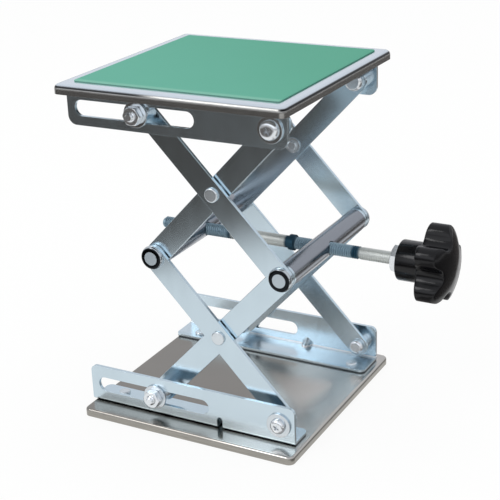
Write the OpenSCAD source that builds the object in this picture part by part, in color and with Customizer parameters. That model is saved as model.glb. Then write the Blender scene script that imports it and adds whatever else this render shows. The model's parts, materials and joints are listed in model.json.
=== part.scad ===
// Screw-driven scissor lab jack. Two folded steel plates are joined on each side by a double
// scissor of flat bars. A lead screw with a left and a right hand thread runs through two cross
// bars and draws them together, and a star knob turns it.
// Millimetres, +Z up, +X along the lead screw towards the knob, +Y to the rear. The origin is the
// centre of the base plate on the surface that the jack stands on.

/* [Plates] */
// Side of the square base plate, which the length of the arms and the width between the webs follow
plate_w = 101.2; // [91:0.1:120]
// How much wider the square platform is than the base plate
platform_over = 1.2; // [0:0.1:2]
// Depth of the folded rim of the base plate
base_rim = 3.5; // [3:0.1:6]
// Depth of the folded rim of the platform
platform_rim = 4; // [3:0.1:6]
// Sheet thickness of both plates
plate_t = 1.2; // [0.8:0.1:1.6]
// Radius of the plates' corners seen from above
plate_corner = 2.8; // [2:0.2:6]
// Outer bend radius between the base plate's face and its rim
base_edge = 1.1; // [0.6:0.1:1.6]
// Outer bend radius between the platform's face and its rim
platform_edge = 2.2; // [1:0.1:2.4]
// Thickness of the mat on the platform
mat_t = 0.6; // [0.5:0.1:2]
// Bare steel left beside the mat towards the knob
mat_right_margin = 5.1; // [2:0.1:8]
// Bare steel left beside the mat on the far side from the knob
mat_left_margin = 5.9; // [2:0.1:8]
// Bare steel left along the front of the mat
mat_front_margin = 6.6; // [2:0.1:8]
// Bare steel left along the rear of the mat
mat_rear_margin = 6.1; // [2:0.1:8]
// Corner radius of the mat
mat_corner = 1.2; // [0.6:0.1:4]

/* [Brackets] */
// Sheet thickness of the four angle brackets
bracket_t = 1.5; // [1.2:0.1:1.8]
// Outer bend radius of the brackets
bracket_bend = 1.6; // [1.6:0.1:3]
// Radius of the base brackets' free corners
base_corner = 2.6; // [1:0.1:4]
// Radius of the platform brackets' free corners
platform_corner = 3.8; // [1:0.1:4]
// Width of the flange of the front brackets
front_flange_w = 12.5; // [11:0.5:16]
// Width of the flange of the rear brackets
rear_flange_w = 16; // [11:0.5:18]
// Height of the pivots above the base plate
base_pivot_h = 8.5; // [7.6:0.1:9]
// Web of the base brackets beyond the pivots
base_web_over = 8.3; // [6.5:0.1:8.3]
// Depth of the pivots below the platform's sheet
platform_pivot_h = 10.3; // [8:0.1:12]
// Web of the platform brackets beyond the pivots
platform_web_over = 7.3; // [6.5:0.1:8.3]
// Bracket beyond the fixed pivots
bracket_tail = 7; // [6:0.1:8]
// Web left at the slot's outer end
slot_wall = 3.6; // [2:0.1:4]
// Width of the slots that guide the free arm ends
slot_w = 6.7; // [6.4:0.1:7]
// Slot left over past the pin when the jack is fully raised
slot_spare = 7.6; // [1:0.1:10]
// Distance of the pressed dart from the inner end of the slot
dart_offset = 5; // [4:0.5:12]
// Outer radius of the pressed dart
dart_r = 2.3; // [2:0.1:3]
// Reach of the dart across the bend
dart_reach = 6.8; // [5.4:0.1:7.4]
// Gap around the platform's rim in the brackets' notches
notch_gap = 0.3; // [0.2:0.1:0.6]
// Rivets from the brackets' ends beside the slots
slot_rivet_inset = 11.2; // [6:0.2:12]
// Rivets from the brackets' ends beside the fixed pivots
pivot_rivet_inset = 7.8; // [6:0.2:12]
// Rivets from the inner edge of the flanges
rivet_edge = 4.5; // [3.5:0.1:5]

/* [Scissor] */
// How much shorter the arms are between their end pivots than the base plate
arm_short = 15.5; // [15:0.1:25]
// Width of the arms
arm_w = 10; // [9:0.1:10.5]
// Thickness of the arms
arm_t = 1.5; // [1.2:0.1:1.6]
// Gap between the inner and the outer layer of arms
layer_gap = 0.6; // [0.6:0.1:1.4]
// Gap between the outer arms and the bracket webs
side_gap = 3.5; // [3:0.1:5]
// Bracket webs from the base plate's edges, on the mean of front and rear
web_inset = 7.6; // [6:0.1:14]
// Offset of the mechanism's middle plane towards the rear
frame_y = 1.4; // [-3:0.1:3]
// Fixed pivots from the right edge of the base plate
pivot_inset = 10.1; // [8:0.1:12]
// Slope of the arms as the jack is drawn
arm_angle = 46.5; // [8:0.5:59]
// Slope of the arms with the jack fully lowered
low_angle = 7.2; // [7:0.1:12]
// Slope of the arms with the jack fully raised
high_angle = 59.5; // [59:0.1:62]

/* [Pivots] */
// Shank of the slot bolts and the pivot screws
bolt_d = 4; // [3:0.5:4]
// Barrel of the sleeve nuts that the fixed pivots turn on
barrel_d = 5; // [5:0.1:5.5]
// Shank of the centre rivets
rivet_d = 4; // [3:0.5:5]
// Head of the centre rivets
rivet_head_d = 6; // [6:0.1:8]
// Shank of the bracket rivets
bracket_rivet_d = 3; // [2:0.5:3.5]
// Head of the bracket rivets
bracket_rivet_head_d = 5; // [4.4:0.1:5.6]
// Height of the bracket rivets' heads
bracket_rivet_head_h = 1.2; // [0.6:0.1:1.2]
// Outer diameter of the plain washers
washer_d = 10.6; // [9:0.1:10.8]
// Thickness of the outer plain washers
washer_t = 0.9; // [0.6:0.1:1.4]
// Outer diameter of the spacers beside the webs
spacer_d = 8.4; // [7:0.1:8.6]
// Neck of the slot bushes
bush_d = 6; // [5.4:0.1:6]
// Hexagon of the slot nuts across the flats
nut_af = 7; // [6.5:0.5:8]
// Thickness of the slot nuts
nut_t = 3.2; // [2.4:0.1:4]
// Slot bolt past its nut
bolt_over = 1.6; // [0.6:0.1:3]
// Heads of the slot bolts
head_d = 7.2; // [6.4:0.1:7.4]
// Heads of the screws and sleeve nuts at the base
base_head_d = 6.6; // [6:0.1:8]
// Heads of the screws and sleeve nuts at the platform
platform_head_d = 7.8; // [6:0.1:8]
// Height of the heads on the inner side
head_h = 2.4; // [1.6:0.1:2.6]
// Height of the pivot screws' heads
screw_head_h = 2; // [1.4:0.1:2.6]

/* [Cross bars] */
// Diameter of the two cross bars
bar_d = 9.8; // [8.6:0.1:10]
// Diameter of the bars' turned ends
spigot_d = 5.8; // [5:0.1:6.4]
// Diameter of the domed end caps
cap_d = 10; // [9:0.1:10.4]
// Height of the domed end caps
cap_h = 1.4; // [1.2:0.1:1.8]
// Washers under the end caps
cap_washer_t = 0.4; // [0.4:0.1:0.5]

/* [Lead screw] */
// Diameter over the threads
screw_d = 6; // [5:0.1:6.2]
// Diameter of the plain lengths of the screw
shank_d = 5.2; // [4.6:0.1:5.6]
// Screw past the middle of the left cross bar
screw_tail = 18; // [13:0.5:20]
// Right hand thread past the middle of the left cross bar
left_thread = 22.5; // [18:0.5:26]
// Stop collar from the middle of the right cross bar
collar_gap = 12.1; // [10:0.1:14]
// Length of the stop collar
collar_l = 2.5; // [2:0.1:4]
// Outer diameter of the stop collar
collar_d = 6.8; // [6.4:0.1:8]
// Left hand thread past the middle of the right cross bar
right_thread = 17.5; // [12:0.5:20]
// Lock nut from the middle of the right cross bar
lock_nut_gap = 32.1; // [26:0.5:40]
// Lock nut across the flats
lock_nut_af = 10.4; // [9:0.1:11]
// Thickness of the lock nut
lock_nut_t = 3.2; // [3:0.1:5]

/* [Star knob] */
// Diameter of the knob over its lobes
knob_d = 33.5; // [30:0.5:40]
// Radius of a lobe's tip
lobe_r = 4.2; // [3.6:0.1:4.6]
// Radius of the knob at the bottom of its valleys
valley_r = 10; // [9.6:0.1:11]
// Number of lobes
lobes = 5; // [4:1:6]
// Turn of the knob as the jack is drawn
knob_turn = 20; // [0:1:71]
// Diameter of the knob's hub
hub_d = 16.8; // [14:0.1:17]
// Length of the hub
hub_l = 9.4; // [6:0.2:12]
// Depth of the sloped back of the lobes
flare_l = 1.6; // [1:0.1:4]
// Thickness of the lobes at their tips
lobe_t = 8; // [5:0.5:9]
// Height of the domed face
dome_h = 4.4; // [2:0.2:5]
// Outer diameter of the threaded insert
insert_d = 8.6; // [8:0.1:10]
// Length of the threaded insert
insert_l = 12; // [8:0.5:14]

/* [Fits] */
// Radial clearance of a pin that turns in a hole
turn_fit = 0.05; // [0.02:0.01:0.1]
// Gap between flat faces that turn against each other
play = 0.1; // [0.05:0.01:0.15]
// End clearance of the bushes in the slots
slot_gap = 0.2; // [0.1:0.05:0.5]

/* [Hidden] */
$fn = 64;
eps = 0.01;
root3 = sqrt(3);

// Layers, measured outwards from the mechanism's middle plane.
web_out = plate_w / 2 - web_inset;
web_in = web_out - bracket_t;
outer_out = web_in - side_gap;
outer_in = outer_out - arm_t;
inner_out = outer_in - layer_gap;
inner_in = inner_out - arm_t;

// Scissor geometry in the X-Z plane.
arm_l = plate_w - arm_short;
pivot_x = plate_w / 2 - pivot_inset;
pivot_z = base_rim + base_pivot_h;
reach = arm_l * cos(arm_angle);
rise = arm_l * sin(arm_angle);
slide_x = pivot_x - reach;
mid_z = pivot_z + rise;
top_z = pivot_z + 2 * rise;
centre_x = pivot_x - reach / 2;
low_centre_z = pivot_z + rise / 2;
high_centre_z = mid_z + rise / 2;
seat_z = top_z + platform_pivot_h;
platform_z = seat_z + plate_t;

// Slots and brackets along X.
slot_from = pivot_x - arm_l * cos(low_angle) - bush_d / 2 - slot_gap;
slot_to = pivot_x - arm_l * cos(high_angle) + bush_d / 2 + slot_spare;
bracket_from = slot_from - slot_wall;
bracket_to = pivot_x + bracket_tail;
dart_x = slot_to + dart_offset;
rivet_xs = [bracket_from + slot_rivet_inset, bracket_to - pivot_rivet_inset];
dart_wall = bracket_t - 0.5;
platform_w = plate_w + platform_over;
rim_clear_x = max(platform_edge, plate_t) + notch_gap - platform_w / 2;

// Lead screw along X.
collar_from = pivot_x - collar_gap - collar_l;
lock_nut_from = pivot_x + lock_nut_gap;
hub_from = lock_nut_from + lock_nut_t;
nut_seat = web_out + washer_t;

// ---- shared shapes

// Puts a child at X, Z and at a distance from the middle plane, its +Z pointing outwards.
module outward(x, z, s, side)
    translate([x, frame_y + side * s, z]) rotate([-90 * side, 0, 0]) children();

module both_sides(x, z, s)
    for (side = [-1, 1]) outward(x, z, s, side) children();

// Puts a child on the lead screw's axis at X, its +Z pointing to the knob.
module along_screw(x)
    translate([x, frame_y, mid_z]) rotate([0, 90, 0]) children();

module ring(outer_d, inner_d, h)
    difference() {
        cylinder(d = outer_d, h = h);
        translate([0, 0, -1]) cylinder(d = inner_d, h = h + 2);
    }

// A hexagon nut with both faces chamfered at 30 degrees.
module hex_nut(af, t, bore_d) {
    corner_r = af / root3;
    face_r = af / 2 - 0.15;
    drop = (corner_r - face_r) * tan(30);
    difference() {
        intersection() {
            cylinder(r = corner_r, h = t, $fn = 6);
            rotate_extrude()
                polygon([[0, 0], [face_r, 0], [corner_r, drop], [corner_r, t - drop], [face_r, t], [0, t]]);
        }
        translate([0, 0, -1]) cylinder(d = bore_d, h = t + 2);
    }
}

// A low round head: a short rim, then a quarter round up to a flat top.
module round_head(d, h, rim) {
    curve_r = h - rim;
    rotate_extrude() union() {
        square([d / 2, rim]);
        square([d / 2 - curve_r, h]);
        intersection() {
            translate([d / 2 - curve_r, rim]) circle(curve_r);
            square([d / 2, h]);
        }
    }
}

// A rectangle with two rounded corners at its far side, and square ones at y = 0.
module tab(len, h, r)
    union() {
        square([len, h - r]);
        translate([r, 0]) square([len - 2 * r, h]);
        for (x = [r, len - r]) translate([x, h - r]) circle(r);
    }

// A slab with round corners and a rolled upper edge.
module rolled_slab(w, h, corner, edge)
    hull() for (x = [-1, 1], y = [-1, 1])
        translate([x * (w / 2 - corner), y * (w / 2 - corner), 0])
            rotate_extrude($fn = 32) union() {
                square([corner, h - edge]);
                square([corner - edge, h]);
                intersection() {
                    translate([corner - edge, h - edge]) circle(edge);
                    square([corner, h]);
                }
            }

// ---- plates

module bracket_rivet_places(front_y, rear_y)
    for (x = rivet_xs, y = [front_y, rear_y]) translate([x, y, 0]) children();

front_rivet_y = frame_y - web_out + front_flange_w - rivet_edge;
rear_rivet_y = frame_y + web_out - rear_flange_w + rivet_edge;

// A sheet folded down along all four edges, its rim's lower edge at z = 0.
module folded_plate(w, rim, edge) {
    inner_edge = max(edge - plate_t, 0.3);
    difference() {
        rolled_slab(w, rim, plate_corner, edge);
        translate([0, 0, -1])
            rolled_slab(w - 2 * plate_t, rim - plate_t + 1, plate_corner - plate_t, inner_edge);
        bracket_rivet_places(front_rivet_y, rear_rivet_y) cylinder(d = bracket_rivet_d, h = rim + 1);
    }
}

module base_plate() color("silver") folded_plate(plate_w, base_rim, base_edge);

// The platform's rivets are sunk flush under the mat.
module platform_plate() color("silver")
    difference() {
        translate([0, 0, platform_z - platform_rim]) folded_plate(platform_w, platform_rim, platform_edge);
        translate([0, 0, seat_z]) bracket_rivet_places(front_rivet_y, rear_rivet_y) sunk_cone();
    }

// The countersink fills the sheet's thickness.
module sunk_cone()
    cylinder(d1 = bracket_rivet_d, d2 = bracket_rivet_d + 2 * plate_t, h = plate_t);

module platform_mat() color("mediumseagreen") {
    mat_w = platform_w - mat_left_margin - mat_right_margin;
    mat_d = platform_w - mat_front_margin - mat_rear_margin;
    translate([mat_left_margin - platform_w / 2, mat_front_margin - platform_w / 2, platform_z])
        linear_extrude(mat_t) union() {
            translate([mat_corner, 0]) square([mat_w - 2 * mat_corner, mat_d]);
            translate([0, mat_corner]) square([mat_w, mat_d - 2 * mat_corner]);
            for (x = [mat_corner, mat_w - mat_corner], y = [mat_corner, mat_d - mat_corner])
                translate([x, y]) circle(mat_corner);
        }
}

// ---- brackets

// The folded section: u runs inwards from the web's outer face, v up from the flange's face.
module angle_section(flange_w, web_h) {
    translate([0, bracket_bend]) square([bracket_t, web_h - bracket_bend]);
    translate([bracket_bend, 0]) square([flange_w - bracket_bend, bracket_t]);
    intersection() {
        translate([bracket_bend, bracket_bend]) difference() {
            circle(bracket_bend);
            circle(bracket_bend - bracket_t);
        }
        square(bracket_bend);
    }
}

// Puts a child on the dart's axis, which crosses the bend at 45 degrees, its -Y to the corner.
module across_bend() {
    axis_at = (dart_reach - dart_r * sqrt(2)) / 2;
    translate([dart_x, axis_at, axis_at]) rotate([45, 0, 0]) children();
}

// A bar across the bend, with a block between it and the corner.
module dart_bar(r, block)
    across_bend() union() {
        cylinder(r = r, h = 4 * dart_reach, center = true);
        if (block) translate([-r, -dart_reach, -2 * dart_reach]) cube([2 * r, dart_reach, 4 * dart_reach]);
    }

// An angle bracket with its slot, pivot hole and rivet holes. Its flange's face lies at z = 0 and
// its web's outer face at y = 0. On the base a dart is pressed across its bend. Under the platform
// its corner is notched to clear the plate's rim.
module bracket(flange_w, pivot_h, web_over, corner, dart) {
    len = bracket_to - bracket_from;
    web_h = pivot_h + web_over;
    difference() {
        union() {
            intersection() {
                translate([bracket_from, 0, 0]) rotate([90, 0, 90])
                    linear_extrude(len) angle_section(flange_w, web_h);
                translate([bracket_from, flange_w + 1, 0]) rotate([90, 0, 0])
                    linear_extrude(flange_w + 2) tab(len, web_h, corner);
                translate([bracket_from, 0, -1])
                    linear_extrude(web_h + 2) tab(len, flange_w, corner);
            }
            if (dart) intersection() {
                dart_bar(dart_r, false);
                translate([dart_x - dart_r - 1, 0.3, 0.3]) cube([2 * dart_r + 2, dart_reach, dart_reach]);
            }
        }
        if (dart) dart_bar(dart_r - dart_wall, true);
        else translate([bracket_from - 1, -1, -1])
            cube([rim_clear_x - bracket_from + 1, flange_w + 2, platform_rim - plate_t + notch_gap + 1]);
        for (x = [slot_from + slot_w / 2, slot_to - slot_w / 2])
            translate([x, -1, pivot_h]) rotate([-90, 0, 0]) cylinder(d = slot_w, h = bracket_t + 2);
        translate([slot_from + slot_w / 2, -1, pivot_h - slot_w / 2])
            cube([slot_to - slot_from - slot_w, bracket_t + 2, slot_w]);
        translate([pivot_x, -1, pivot_h]) rotate([-90, 0, 0])
            cylinder(d = barrel_d + 2 * turn_fit, h = bracket_t + 2);
        for (x = rivet_xs) translate([x, flange_w - rivet_edge, -1])
            cylinder(d = bracket_rivet_d, h = bracket_t + 2);
    }
}

module at_front() translate([0, frame_y - web_out, 0]) children();
module at_rear() translate([0, frame_y + web_out, 0]) mirror([0, 1, 0]) children();
module on_base() translate([0, 0, base_rim]) children();
module under_platform() translate([0, 0, seat_z]) mirror([0, 0, 1]) children();

module base_front_bracket() color("lightsteelblue")
    at_front() on_base() bracket(front_flange_w, base_pivot_h, base_web_over, base_corner, true);
module base_rear_bracket() color("lightsteelblue")
    at_rear() on_base() bracket(rear_flange_w, base_pivot_h, base_web_over, base_corner, true);
module platform_front_bracket() color("slategray")
    at_front() under_platform() bracket(front_flange_w, platform_pivot_h, platform_web_over, platform_corner, false);
module platform_rear_bracket() color("slategray")
    at_rear() under_platform() bracket(rear_flange_w, platform_pivot_h, platform_web_over, platform_corner, false);

// Low heads on the flanges, formed tails under the base sheet.
module base_bracket_rivets() color("gainsboro")
    bracket_rivet_places(front_rivet_y, rear_rivet_y) {
        translate([0, 0, base_rim - plate_t]) cylinder(d = bracket_rivet_d, h = plate_t + bracket_t);
        translate([0, 0, base_rim + bracket_t])
            round_head(bracket_rivet_head_d, bracket_rivet_head_h, bracket_rivet_head_h / 3);
        translate([0, 0, base_rim - plate_t]) mirror([0, 0, 1])
            round_head(bracket_rivet_head_d, 1, 0.3);
    }

// Heads sunk in the platform sheet, formed tails under the flanges.
module platform_bracket_rivets() color("gainsboro")
    bracket_rivet_places(front_rivet_y, rear_rivet_y) {
        translate([0, 0, seat_z]) sunk_cone();
        translate([0, 0, seat_z - bracket_t]) cylinder(d = bracket_rivet_d, h = bracket_t);
        translate([0, 0, seat_z - bracket_t]) mirror([0, 0, 1])
            round_head(bracket_rivet_head_d, 1, 0.3);
    }

// ---- arms

// A flat bar from x1, z1 towards an angle, its inner face at a layer's distance s.
module arm(x1, z1, angle, s, side, start_d, end_d)
    translate([x1, frame_y + side * (s + arm_t / 2), z1]) rotate([0, -angle, 0]) rotate([90, 0, 0])
        linear_extrude(arm_t, center = true) difference() {
            union() {
                for (x = [0, arm_l]) translate([x, 0]) circle(d = arm_w);
                translate([0, -arm_w / 2]) square([arm_l, arm_w]);
            }
            circle(d = start_d + 2 * turn_fit);
            translate([arm_l / 2, 0]) circle(d = rivet_d + 2 * turn_fit);
            translate([arm_l, 0]) circle(d = end_d + 2 * turn_fit);
        }

module lower_outer_arm(side) arm(pivot_x, pivot_z, 180 - arm_angle, outer_in, side, barrel_d, spigot_d);
module lower_inner_arm(side) arm(slide_x, pivot_z, arm_angle, inner_in, side, bolt_d, spigot_d);
module upper_inner_arm(side) arm(slide_x, mid_z, arm_angle, inner_in, side, spigot_d, barrel_d);
module upper_outer_arm(side) arm(pivot_x, mid_z, 180 - arm_angle, outer_in, side, spigot_d, bolt_d);

module lower_outer_arm_front() color("lightsteelblue") lower_outer_arm(-1);
module lower_outer_arm_rear() color("lightsteelblue") lower_outer_arm(1);
module lower_inner_arm_front() color("lightsteelblue") lower_inner_arm(-1);
module lower_inner_arm_rear() color("lightsteelblue") lower_inner_arm(1);
module upper_inner_arm_front() color("slategray") upper_inner_arm(-1);
module upper_inner_arm_rear() color("slategray") upper_inner_arm(1);
module upper_outer_arm_front() color("slategray") upper_outer_arm(-1);
module upper_outer_arm_rear() color("slategray") upper_outer_arm(1);

// A rivet through both arms where they cross, with a washer under its formed tail.
module centre_rivet() {
    tail_at = inner_in - play - 0.6;
    translate([0, 0, outer_out]) round_head(rivet_head_d, 1.1, 0.5);
    translate([0, 0, tail_at]) cylinder(d = rivet_d, h = outer_out - tail_at);
    translate([0, 0, inner_in - play - 0.6]) cylinder(d = rivet_head_d + 1, h = 0.6);
    translate([0, 0, tail_at]) mirror([0, 0, 1]) round_head(rivet_d + 0.4, 1, 0.4);
}

// A thin washer in the gap between the two layers of arms.
module layer_washer(bore_d)
    translate([0, 0, inner_out + play]) ring(washer_d - 1, bore_d + 2 * turn_fit, layer_gap - 2 * play);

module lower_centre_rivets() color("gainsboro") both_sides(centre_x, low_centre_z, 0) centre_rivet();
module upper_centre_rivets() color("gainsboro") both_sides(centre_x, high_centre_z, 0) centre_rivet();
module lower_centre_washers() color("silver") both_sides(centre_x, low_centre_z, 0) layer_washer(rivet_d);
module upper_centre_washers() color("silver") both_sides(centre_x, high_centre_z, 0) layer_washer(rivet_d);

// ---- fixed pivots: a sleeve nut from inside, a screw and a washer from outside

module pivot_screw(d)
    union() {
        translate([0, 0, nut_seat]) round_head(d, screw_head_h, 0.6);
        translate([0, 0, outer_out]) cylinder(d = bolt_d, h = nut_seat - outer_out);
    }

module pivot_washer()
    translate([0, 0, web_out]) ring(washer_d, bolt_d + 2 * turn_fit, washer_t);

// Fills the space between an arm and the web.
module pivot_spacer(arm_out)
    translate([0, 0, arm_out + play]) ring(spacer_d, barrel_d + 2 * turn_fit, web_in - arm_out - play);

// The barrel reaches through the arm, the spacer and the web, and stops at the washer.
module sleeve_nut(arm_in, d)
    difference() {
        union() {
            translate([0, 0, arm_in - play]) mirror([0, 0, 1]) round_head(d, head_h, 1);
            translate([0, 0, arm_in - play - eps]) cylinder(d = barrel_d, h = web_out - arm_in + play + eps);
        }
        translate([0, 0, arm_in]) cylinder(d = bolt_d + 2 * turn_fit, h = web_out);
    }

module base_pivot_screws() color("gainsboro") both_sides(pivot_x, pivot_z, 0) pivot_screw(base_head_d);
module base_pivot_washers() color("silver") both_sides(pivot_x, pivot_z, 0) pivot_washer();
module base_pivot_spacers() color("silver") both_sides(pivot_x, pivot_z, 0) pivot_spacer(outer_out);
module base_pivot_sleeve_nuts() color("silver") both_sides(pivot_x, pivot_z, 0) sleeve_nut(outer_in, base_head_d);
module platform_pivot_screws() color("gainsboro") both_sides(pivot_x, top_z, 0) pivot_screw(platform_head_d);
module platform_pivot_washers() color("silver") both_sides(pivot_x, top_z, 0) pivot_washer();
module platform_pivot_spacers() color("silver") both_sides(pivot_x, top_z, 0) pivot_spacer(inner_out);
module platform_pivot_sleeve_nuts() color("silver") both_sides(pivot_x, top_z, 0)
    sleeve_nut(inner_in, platform_head_d);

// ---- slot bolts: the head sits on the arm, a shouldered bush runs in the slot

module slot_bolt(arm_in)
    union() {
        translate([0, 0, arm_in]) mirror([0, 0, 1]) round_head(head_d, head_h, 1);
        translate([0, 0, arm_in]) cylinder(d = bolt_d, h = nut_seat + play + nut_t + bolt_over - arm_in - 0.5);
        translate([0, 0, nut_seat + play + nut_t + bolt_over - 0.5])
            cylinder(d1 = bolt_d, d2 = bolt_d - 1, h = 0.5);
    }

module slot_bush(arm_out)
    difference() {
        union() {
            translate([0, 0, arm_out]) cylinder(d = spacer_d, h = web_in - play - arm_out);
            translate([0, 0, arm_out]) cylinder(d = bush_d, h = web_out + play - arm_out);
        }
        translate([0, 0, arm_out - 1]) cylinder(d = bolt_d + 2 * turn_fit, h = web_out);
    }

module slot_washer()
    translate([0, 0, web_out + play]) ring(washer_d, bolt_d + 2 * turn_fit, washer_t);

module slot_nut()
    translate([0, 0, nut_seat + play]) hex_nut(nut_af, nut_t, bolt_d + 2 * turn_fit);

module lower_slot_bolts() color("gainsboro") both_sides(slide_x, pivot_z, 0) slot_bolt(inner_in);
module lower_slot_bushes() color("silver") both_sides(slide_x, pivot_z, 0) slot_bush(inner_out);
module lower_slot_washers() color("silver") both_sides(slide_x, pivot_z, 0) slot_washer();
module lower_slot_nuts() color("gainsboro") both_sides(slide_x, pivot_z, 0) slot_nut();
module upper_slot_bolts() color("gainsboro") both_sides(slide_x, top_z, 0) slot_bolt(outer_in);
module upper_slot_bushes() color("silver") both_sides(slide_x, top_z, 0) slot_bush(outer_out);
module upper_slot_washers() color("silver") both_sides(slide_x, top_z, 0) slot_washer();
module upper_slot_nuts() color("gainsboro") both_sides(slide_x, top_z, 0) slot_nut();

// ---- cross bars

// A round bar with turned ends, drilled across for the lead screw.
module cross_bar(x)
    difference() {
        union() {
            outward(x, mid_z, play - inner_in, 1) cylinder(d = bar_d, h = 2 * (inner_in - play));
            both_sides(x, mid_z, inner_in - play - eps) cylinder(d = spigot_d, h = cap_top - inner_in + play + eps);
        }
        translate([x - bar_d, frame_y, mid_z]) rotate([0, 90, 0])
            cylinder(d = screw_d + 2 * turn_fit, h = 2 * bar_d);
    }

cap_seat = outer_out + play + cap_washer_t;
cap_top = cap_seat + cap_h;

// A ring with a quarter round flank, closed onto the turned end.
module end_cap()
    translate([0, 0, cap_seat]) difference() {
        round_head(cap_d, cap_h, 0.2);
        translate([0, 0, -1]) cylinder(d = spigot_d + 2 * turn_fit, h = cap_h + 2);
    }

module bar_washers() {
    layer_washer(spigot_d);
    translate([0, 0, outer_out + play]) ring(washer_d - 0.4, spigot_d + 2 * turn_fit, cap_washer_t);
}

module left_cross_bar() color("silver") cross_bar(slide_x);
module left_bar_caps() color("dimgray") both_sides(slide_x, mid_z, 0) end_cap();
module left_bar_washers() color("gainsboro") both_sides(slide_x, mid_z, 0) bar_washers();
module right_cross_bar() color("silver") cross_bar(pivot_x);
module right_bar_caps() color("dimgray") both_sides(pivot_x, mid_z, 0) end_cap();
module right_bar_washers() color("gainsboro") both_sides(pivot_x, mid_z, 0) bar_washers();

// ---- lead screw

// Threads are plain lengths at their outer diameter. The tail end is rounded.
module lead_screw() color("slategray") {
    tail_x = slide_x - screw_tail;
    tip_r = 1.6;
    along_screw(0) rotate_extrude() union() {
        translate([0, tail_x + tip_r]) square([screw_d / 2, screw_tail + left_thread - tip_r]);
        translate([0, tail_x]) square([screw_d / 2 - tip_r, tip_r]);
        intersection() {
            translate([screw_d / 2 - tip_r, tail_x + tip_r]) circle(tip_r);
            translate([0, tail_x]) square([screw_d / 2, tip_r]);
        }
        translate([0, slide_x]) square([shank_d / 2, hub_from + insert_l - slide_x]);
        translate([0, collar_from]) square([screw_d / 2, pivot_x + right_thread - collar_from]);
    }
}

module stop_collar() color("darkslategray")
    along_screw(collar_from) difference() {
        cylinder(d = collar_d, h = collar_l);
        translate([0, 0, -1]) cylinder(d = screw_d + 2 * turn_fit, h = collar_l + 2);
    }

module lock_nut() color("gainsboro")
    along_screw(lock_nut_from) hex_nut(lock_nut_af, lock_nut_t, shank_d + 2 * turn_fit);

// ---- star knob

module knob_insert() color("goldenrod")
    along_screw(hub_from) ring(insert_d, shank_d + 2 * turn_fit, insert_l);

// A star of lobes and valleys whose arcs meet tangentially.
module star() {
    lobe_at = knob_d / 2 - lobe_r;
    half = 180 / lobes;
    drop = valley_r - lobe_r;
    valley_at = (lobe_at * lobe_at - drop * drop) / (2 * (lobe_at * cos(half) - drop));
    hollow_r = valley_at - valley_r;
    valley = valley_at * [cos(half), sin(half)];
    meet_a = atan2(valley.y, valley.x - lobe_at);
    steps = 12;
    lobe = [for (k = [0 : steps])
        let (a = (2 * k / steps - 1) * meet_a) [lobe_at, 0] + lobe_r * [cos(a), sin(a)]];
    hollow = [for (k = [1 : steps - 1])
        let (a = 180 + meet_a + 2 * (half - meet_a) * k / steps) valley + hollow_r * [cos(a), sin(a)]];
    polygon([for (i = [0 : lobes - 1], p = concat(lobe, hollow))
        let (c = cos(2 * half * i), s = sin(2 * half * i)) [c * p.x - s * p.y, s * p.x + c * p.y]]);
}

module star_knob() color("black") {
    knob_r = knob_d / 2;
    rim_at = hub_l + flare_l;
    face_at = rim_at + lobe_t;
    dome_r = (knob_r * knob_r + dome_h * dome_h) / (2 * dome_h);
    along_screw(hub_from) difference() {
        union() {
            cylinder(d = hub_d, h = hub_l + flare_l);
            intersection() {
                rotate(knob_turn) linear_extrude(face_at + dome_h) star();
                rotate_extrude() intersection() {
                    translate([0, face_at + dome_h - dome_r]) circle(dome_r, $fn = 256);
                    polygon([[0, hub_l - 1], [hub_d / 2, hub_l], [knob_r + eps, rim_at],
                             [knob_r + eps, face_at + dome_h], [0, face_at + dome_h]]);
                }
            }
        }
        translate([0, 0, -1]) cylinder(d = insert_d, h = insert_l + 1);
    }
}

base_plate();
base_front_bracket();
base_rear_bracket();
base_bracket_rivets();
base_pivot_screws();
base_pivot_washers();
base_pivot_spacers();
base_pivot_sleeve_nuts();
lower_outer_arm_front();
lower_outer_arm_rear();
lower_centre_rivets();
lower_centre_washers();
lower_inner_arm_front();
lower_inner_arm_rear();
lower_slot_bolts();
lower_slot_bushes();
lower_slot_washers();
lower_slot_nuts();
left_cross_bar();
left_bar_caps();
left_bar_washers();
right_cross_bar();
right_bar_caps();
right_bar_washers();
upper_inner_arm_front();
upper_inner_arm_rear();
upper_outer_arm_front();
upper_outer_arm_rear();
upper_centre_rivets();
upper_centre_washers();
upper_slot_bolts();
upper_slot_bushes();
upper_slot_washers();
upper_slot_nuts();
platform_plate();
platform_mat();
platform_front_bracket();
platform_rear_bracket();
platform_bracket_rivets();
platform_pivot_screws();
platform_pivot_washers();
platform_pivot_spacers();
platform_pivot_sleeve_nuts();
lead_screw();
stop_collar();
lock_nut();
knob_insert();
star_knob();
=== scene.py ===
import json
import math

import bmesh
import bpy
from mathutils import Matrix, Vector

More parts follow.
